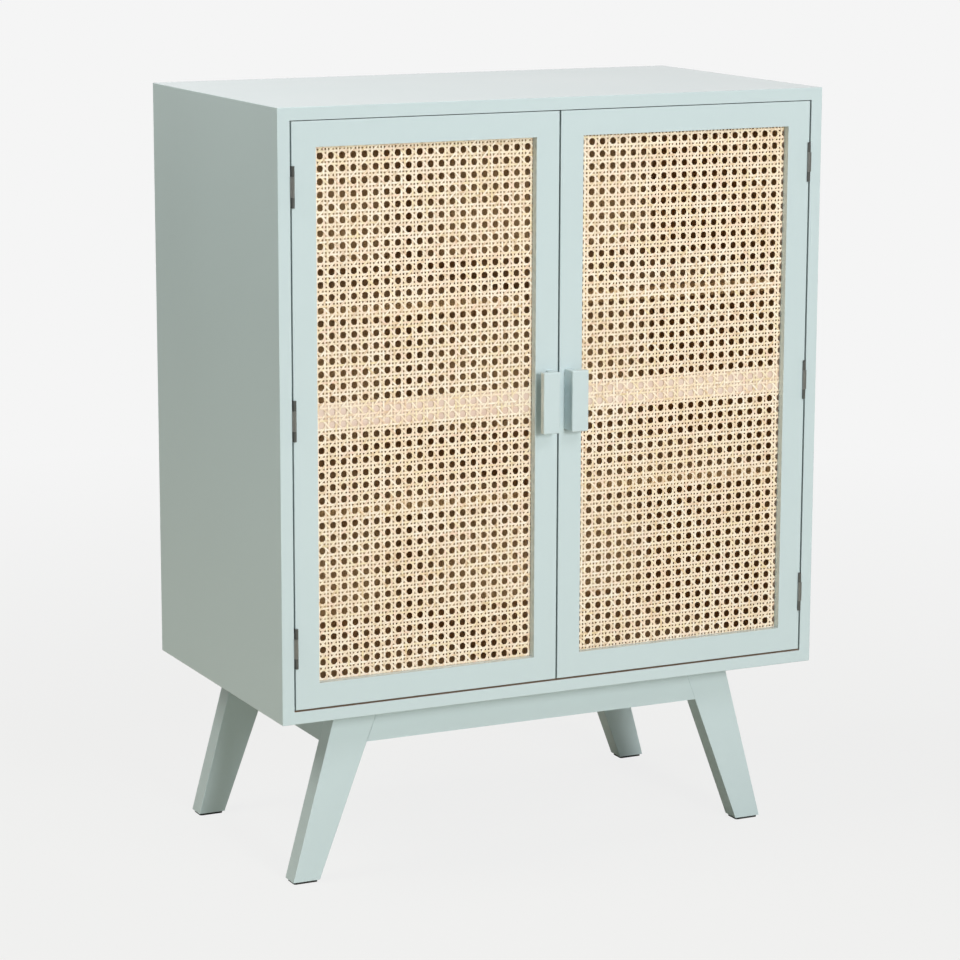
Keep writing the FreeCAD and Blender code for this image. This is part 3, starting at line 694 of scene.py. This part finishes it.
@once
def cane_sheet():
    """Six sets of strands: paired uprights, paired level strands and both diagonals."""
    tree, given = new_tree("Cane sheet", "GeometryNodeTree", [
        ("Columns", "NodeSocketInt", 1),
        ("Rows", "NodeSocketInt", 1),
        ("Corner hole", "NodeSocketVector", None),
        ("Pitch", "NodeSocketVector", None),
        ("Low", "NodeSocketVector", None),
        ("High", "NodeSocketVector", None),
        ("Pair share", "NodeSocketFloat", None),
        ("Width", "NodeSocketFloat", None),
        ("Diagonal width", "NodeSocketFloat", None),
        ("Thickness", "NodeSocketFloat", None),
        ("Rise", "NodeSocketFloat", None),
        ("Diagonal rise", "NodeSocketFloat", None),
        ("Wander", "NodeSocketFloat", None),
        ("Seed", "NodeSocketInt", None),
        ("Depth", "NodeSocketFloat", None),
        ("Material", "NodeSocketMaterial", None),
    ], [("Mesh", "NodeSocketGeometry")])
    near = maths(tree, "SUBTRACT", 0.5, given["Pair share"])
    far = maths(tree, "ADD", 0.5, given["Pair share"])
    quarter = math.pi / 2
    # upright and level strands have two points in a cell, diagonal ones four
    pair = {"Wave_step": math.pi, "Width": given["Width"], "Rise": given["Rise"]}
    upright = {**pair, "Strands": given["Columns"], "Samples": maths(tree, "MULTIPLY", given["Rows"], 2.0),
               "Start": (0, 0.25, 0), "Across": (1, 0, 0), "Along": (0, 0.5, 0)}
    level = {**pair, "Strands": given["Rows"], "Samples": maths(tree, "MULTIPLY", given["Columns"], 2.0),
             "Start": (0.25, 0, 0), "Across": (0, 1, 0), "Along": (0.5, 0, 0)}
    slanted = {"Wave_step": quarter, "Width": given["Diagonal width"], "Rise": given["Diagonal rise"],
               "Strands": maths(tree, "ADD", given["Columns"], given["Rows"]),
               "Samples": maths(tree, "MULTIPLY", given["Columns"], 4.0), "Across": (0, 1, 0)}
    rising = {**slanted, "Start": (0.125, -0.375, 0), "Along": (0.25, 0.25, 0)}
    falling = {**slanted, "Start": (0.125, 0.375, 0), "Along": (0.25, -0.25, 0)}
    # each set's kind, first strand and start of the wave
    sets = (
        (upright, near, -quarter),
        (upright, far, quarter),
        (level, near, quarter),
        (level, far, -quarter),
        (rising, maths(tree, "MULTIPLY", given["Columns"], -1.0), 1.5 * quarter),
        (falling, 0.0, -0.5 * quarter),
    )
    joined = place(tree, "GeometryNodeJoinGeometry")
    for number, (kind, first, wave) in enumerate(sets):
        seed = maths(tree, "ADD", given["Seed"], float(number))
        made = grouped(tree, strand_set(), **kind, First_strand=first, Wave_start=wave, Seed=seed,
                       Corner_hole=given["Corner hole"], Pitch=given["Pitch"], Thickness=given["Thickness"],
                       Wander=given["Wander"], Low=given["Low"], High=given["High"])
        tree.links.new(made["Mesh"], joined.inputs[0])
    stood = place(tree, "GeometryNodeTransform", {
        "Geometry": joined.outputs[0], "Rotation": (quarter, 0, 0),
        "Translation": vector_of(tree, Y=given["Depth"])}).outputs["Geometry"]
    whole = place(tree, "GeometryNodeRealizeInstances", {"Geometry": stood}).outputs["Geometry"]
    finished = place(tree, "GeometryNodeSetMaterial", {"Geometry": whole, "Material": given["Material"]})
    put_out(tree, Mesh=finished.outputs["Geometry"])
    return tree


def grown(name, tree, inputs):
    """The tree's result as a plain mesh object at the origin."""
    piece = bpy.data.objects.new(name, bpy.data.meshes.new(name))
    bpy.context.scene.collection.objects.link(piece)
    modifier = piece.modifiers.new(name, "NODES")
    modifier.node_group = tree
    for item in tree.interface.items_tree:
        if item.in_out == "INPUT":
            modifier[item.identifier] = inputs[item.name]
    evaluated = piece.evaluated_get(bpy.context.evaluated_depsgraph_get())
    mesh = bpy.data.meshes.new_from_object(evaluated)
    piece.modifiers.clear()
    piece.data = mesh
    return piece


def corner_hole(hole, low, pitch):
    """The hole of the same lattice that is left of and below the sheet's corner."""
    return hole - pitch * math.ceil((hole - low) / pitch)


def woven_panel(side):
    """Weaves a door's cane in place of its CAD sheet."""
    cane = settings("cane")
    low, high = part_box(side + "_cane_panel")
    across = -cane.left_hole_across if side == "left" else cane.right_hole_across
    up = cane.left_hole_up if side == "left" else cane.right_hole_up
    corner = (corner_hole(across, low.x, cane.pitch_across), corner_hole(up, low.z, cane.pitch_up))
    panel = grown(side + "_woven_cane", cane_sheet(), {
        "Columns": math.ceil((high.x - corner[0]) / cane.pitch_across),
        "Rows": math.ceil((high.z - corner[1]) / cane.pitch_up),
        "Corner hole": (*corner, 0.0),
        "Pitch": (cane.pitch_across, cane.pitch_up, 0.0),
        "Low": (low.x + CANE_EDGE, low.z + CANE_EDGE, 0.0),
        "High": (high.x - CANE_EDGE, high.z - CANE_EDGE, 0.0),
        "Pair share": cane.pair_share,
        "Width": cane.width,
        "Diagonal width": cane.diagonal_width,
        "Thickness": cane.thickness,
        "Rise": cane.rise,
        "Diagonal rise": cane.diagonal_rise,
        "Wander": cane.wander,
        "Seed": cane.seed + len(side),
        "Depth": (low.y + high.y) / 2,
        "Material": cane_strands(),
    })
    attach(panel, side + "_door")
    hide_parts(side + "_cane_panel")


# ---- the studio ---------------------------------------------------------
FLOOR_HALF = 60.0
FLOOR_PALER = 1.01       # pale patches of the floor, beside its own colour
FLOOR_ROUGHNESS = 0.9
CAMERA_PLACE = Vector((-1.7824, -3.6264, 1.2564))
CAMERA_AIM = Vector((-0.0113, 0.0005, 0.4469))
CAMERA_ROLL = math.radians(0.16)
SENSOR_WIDTH = 36.0      # millimetres
SHADOW_NEAR = 0.7        # the camera sees the floor's shadow fade out from here
SHADOW_FAR = 2.6         # to here, where the floor has the backdrop's colour
SHADOW_LIFT = 0.9        # share of the backdrop's colour even at the cabinet
TINTED = ("side_light", "corner_light")
IN_GLOSS = ("high_light",)
MIDDLE = (0.0, 0.0, 0.55)
LIGHTS = {               # width, height, place and aim of each light
    "front_light": (0.6, 1.2, (0.1, -4.25, 1.25), MIDDLE),
    "key_light": (0.6, 0.85, (0.1, -4.2, 1.8), MIDDLE),
    "high_light": (1.6, 1.6, (0.5, -3.2, 3.43), MIDDLE),
    "side_light": (1.4, 1.4, (-2.6, -0.1, 2.8), (-0.36, 0.0, 0.6)),
    "shoulder_light": (0.8, 0.8, (-1.1, 0.3, 2.3), (-0.3, 0.0, 0.93)),
    "right_light": (1.6, 1.6, (3.8, -0.4, 0.9), MIDDLE),
    "back_light": (1.6, 1.6, (0.7, 4.0, 0.9), MIDDLE),
    "corner_light": (1.6, 1.6, (3.4, 2.6, 1.5), MIDDLE),
}


def studio_floor():
    """A matt floor that the camera sees fade into the backdrop, away from the cabinet."""
    stage = settings("stage")
    mesh = bpy.data.meshes.new("studio_floor")
    corners = ((-1, -1), (1, -1), (1, 1), (-1, 1))
    mesh.from_pydata([(x * FLOOR_HALF, y * FLOOR_HALF, 0) for x, y in corners], [], [(0, 1, 2, 3)])
    floor = bpy.data.objects.new("studio_floor", mesh)
    bpy.context.scene.collection.objects.link(floor)
    material, tree, surface, at = new_material("studio_floor")
    patches = noise(tree, at, FLOOR_PATCHES)
    base = mixed_colour(tree, patches, stage.floor, scaled(stage.floor, FLOOR_PALER))
    tree.links.new(base, surface.inputs["Base Color"])
    surface.inputs["Roughness"].default_value = FLOOR_ROUGHNESS
    surface.inputs["Specular IOR Level"].default_value = 0.0
    away = ranged(tree, vectors(tree, "LENGTH", at), SHADOW_NEAR, SHADOW_FAR, SHADOW_LIFT, 1.0)
    path = place(tree, "ShaderNodeLightPath").outputs
    shown = place(tree, "ShaderNodeEmission", {"Color": stage.backdrop, "Strength": 1.0})
    both = place(tree, "ShaderNodeMixShader", {
        0: maths(tree, "MULTIPLY", away, path["Is Camera Ray"]), 1: surface.outputs[0], 2: shown.outputs[0]})
    tree.links.new(both.outputs[0], tree.nodes["Material Output"].inputs["Surface"])
    mesh.materials.append(material)


def studio_world():
    """Dim light from all round; the camera, gloss and glass see the backdrop's own colour."""
    stage = settings("stage")
    world = bpy.data.worlds.new("studio")
    bpy.context.scene.world = world
    world.use_nodes = True
    tree = world.node_tree
    light = tree.nodes["Background"]
    light.inputs["Color"].default_value = stage.shade
    light.inputs["Strength"].default_value = stage.sky
    shown = place(tree, "ShaderNodeBackground", {"Color": stage.backdrop, "Strength": 1.0})
    path = place(tree, "ShaderNodeLightPath").outputs
    seen = maths(tree, "MAXIMUM", path["Is Camera Ray"],
                 maths(tree, "MAXIMUM", path["Is Glossy Ray"], path["Is Transmission Ray"]))
    both = place(tree, "ShaderNodeMixShader", {0: seen, 1: light.outputs[0], 2: shown.outputs[0]})
    tree.links.new(both.outputs[0], tree.nodes["World Output"].inputs["Surface"])


def studio_lights():
    """Area lights. Gloss shows only the high one, so that the others leave no glare on the coat."""
    stage = settings("stage")
    for name, (width, height, spot, aim) in LIGHTS.items():
        lamp = bpy.data.lights.new(name, "AREA")
        lamp.energy = getattr(stage, name)
        if name in TINTED:
            lamp.color = stage.side_tint[:3]
        lamp.shape = "RECTANGLE"
        lamp.size, lamp.size_y = width, height
        light = bpy.data.objects.new(name, lamp)
        light.location = spot
        light.rotation_euler = (Vector(spot) - Vector(aim)).to_track_quat("Z", "Y").to_euler()
        light.visible_camera = False
        light.visible_glossy = name in IN_GLOSS
        bpy.context.scene.collection.objects.link(light)


def studio_camera():
    camera = bpy.data.objects.new("camera", bpy.data.cameras.new("camera"))
    camera.data.lens = settings("stage").lens / MM
    camera.data.sensor_width = SENSOR_WIDTH
    camera.data.clip_end = 2 * FLOOR_HALF
    facing = (CAMERA_AIM - CAMERA_PLACE).to_track_quat("-Z", "Y").to_matrix().to_4x4()
    rolled = facing @ Matrix.Rotation(CAMERA_ROLL, 4, "Z")
    camera.matrix_world = Matrix.Translation(CAMERA_PLACE) @ rolled
    bpy.context.scene.collection.objects.link(camera)
    bpy.context.scene.camera = camera


# ---- operators, one for each group of like pieces -----------------------
class CABINET_OT_carcass(bpy.types.Operator):
    """Paint the carcass outside and leave its room bare"""
    bl_idname = "cabinet.carcass"
    bl_label = "Carcass"

    def execute(self, context):
        painted_depth = settings("wood").painted_depth
        finish_nodes(carcass_finish("Z", painted_depth), on_both("side_panel"))
        finish_nodes(carcass_finish("X", painted_depth), ["top_panel"])
        finish_nodes(carcass_finish("X", FLUSH), ["bottom_panel"])
        finish_nodes(bare_board("X"), ["lower_shelf", "upper_shelf"])
        finish_nodes(bare_board("Z"), ["back_panel", "carcass_dowels"])
        return {"FINISHED"}


class CABINET_OT_leg_frame(bpy.types.Operator):
    """Paint the legs and aprons, and finish what holds them"""
    bl_idname = "cabinet.leg_frame"
    bl_label = "Leg frame"

    def execute(self, context):
        legs = [row + "_" + name for row in ("front", "back") for name in on_both("leg")]
        aprons = ["front_apron", "back_apron", *on_both("apron")]
        finish_nodes(mint_paint(), legs + aprons)
        finish_nodes(bare_board("X"), ["leg_frame_dowels", "corner_blocks"])
        finish_nodes(glide_rubber(), ["foot_glides"])
        return {"FINISHED"}


class CABINET_OT_doors(bpy.types.Operator):
    """Paint the door frames and handles, and finish the battens behind the cane"""
    bl_idname = "cabinet.doors"
    bl_label = "Doors and handles"

    def execute(self, context):
        painted = on_both("meeting_stile", "hinge_stile", "top_rail", "bottom_rail", "handle")
        finish_nodes(mint_paint(), painted)
        finish_nodes(batten_wood("X"), on_both("mid_rail"))
        finish_nodes(batten_wood("Z"), on_both("cane_beads"))
        return {"FINISHED"}


class CABINET_OT_cane(bpy.types.Operator):
    """Weave the cane of both doors"""
    bl_idname = "cabinet.cane"
    bl_label = "Woven cane"

    def execute(self, context):
        finish_nodes(cane_strands(), on_both("cane_panel"))
        for side in SIDES:
            woven_panel(side)
        return {"FINISHED"}


class CABINET_OT_hardware(bpy.types.Operator):
    """Finish the hinges, screws and catches"""
    bl_idname = "cabinet.hardware"
    bl_label = "Hinges, screws and catches"

    def execute(self, context):
        nickel = on_both("carcass_hinge_leaves", "strike_plate")
        screws = on_both("door_hinge_screws", "handle_screws", "strike_screw")
        screws += ["carcass_hinge_screws", "back_panel_screws", "corner_block_screws", "catch_screws"]
        finish_nodes(satin_nickel(), nickel + ["hinge_pins", "shelf_pins"])
        # painted shade: the door leaves are darker than the carcass leaves
        finish_nodes(worn_nickel(), on_both("door_hinge_leaves"))
        finish_nodes(zinc_steel(), screws)
        finish_nodes(catch_plastic(), ["catch_housings"])
        finish_nodes(ferrite(), ["catch_magnets"])
        return {"FINISHED"}


class CABINET_OT_stage(bpy.types.Operator):
    """Set up the studio floor, light and camera"""
    bl_idname = "cabinet.stage"
    bl_label = "Studio"

    def execute(self, context):
        context.scene.view_settings.view_transform = "Standard"
        studio_floor()
        studio_world()
        studio_lights()
        studio_camera()
        return {"FINISHED"}


STEPS = (CABINET_OT_carcass, CABINET_OT_leg_frame, CABINET_OT_doors,
         CABINET_OT_cane, CABINET_OT_hardware, CABINET_OT_stage)
GROUPS = {"paint": CabinetPaint, "wood": CabinetWood, "cane": CabinetCane,
          "metal": CabinetMetal, "stage": CabinetStage}


class CABINET_PT_panel(bpy.types.Panel):
    """Settings and steps of the cabinet"""
    bl_idname = "CABINET_PT_panel"
    bl_label = "Record cabinet"
    bl_space_type = "VIEW_3D"
    bl_region_type = "UI"
    bl_category = "Cabinet"

    def draw(self, context):
        for name in GROUPS:
            box = self.layout.box()
            box.label(text=name.capitalize())
            for key in GROUPS[name].__annotations__:
                box.prop(settings(name), key)
        for step in STEPS:
            self.layout.operator(step.bl_idname)


def register():
    for name, group in GROUPS.items():
        bpy.utils.register_class(group)
        setattr(bpy.types.Scene, "cabinet_" + name, PointerProperty(type=group))
    for shown in (*STEPS, CABINET_PT_panel):
        bpy.utils.register_class(shown)


def unregister():
    for shown in (CABINET_PT_panel, *reversed(STEPS)):
        bpy.utils.unregister_class(shown)
    for name, group in GROUPS.items():
        delattr(bpy.types.Scene, "cabinet_" + name)
        bpy.utils.unregister_class(group)


def main():
    register()
    for step in STEPS:
        group, name = step.bl_idname.split(".")
        getattr(getattr(bpy.ops, group), name)()


if __name__ == "__main__":
    main()
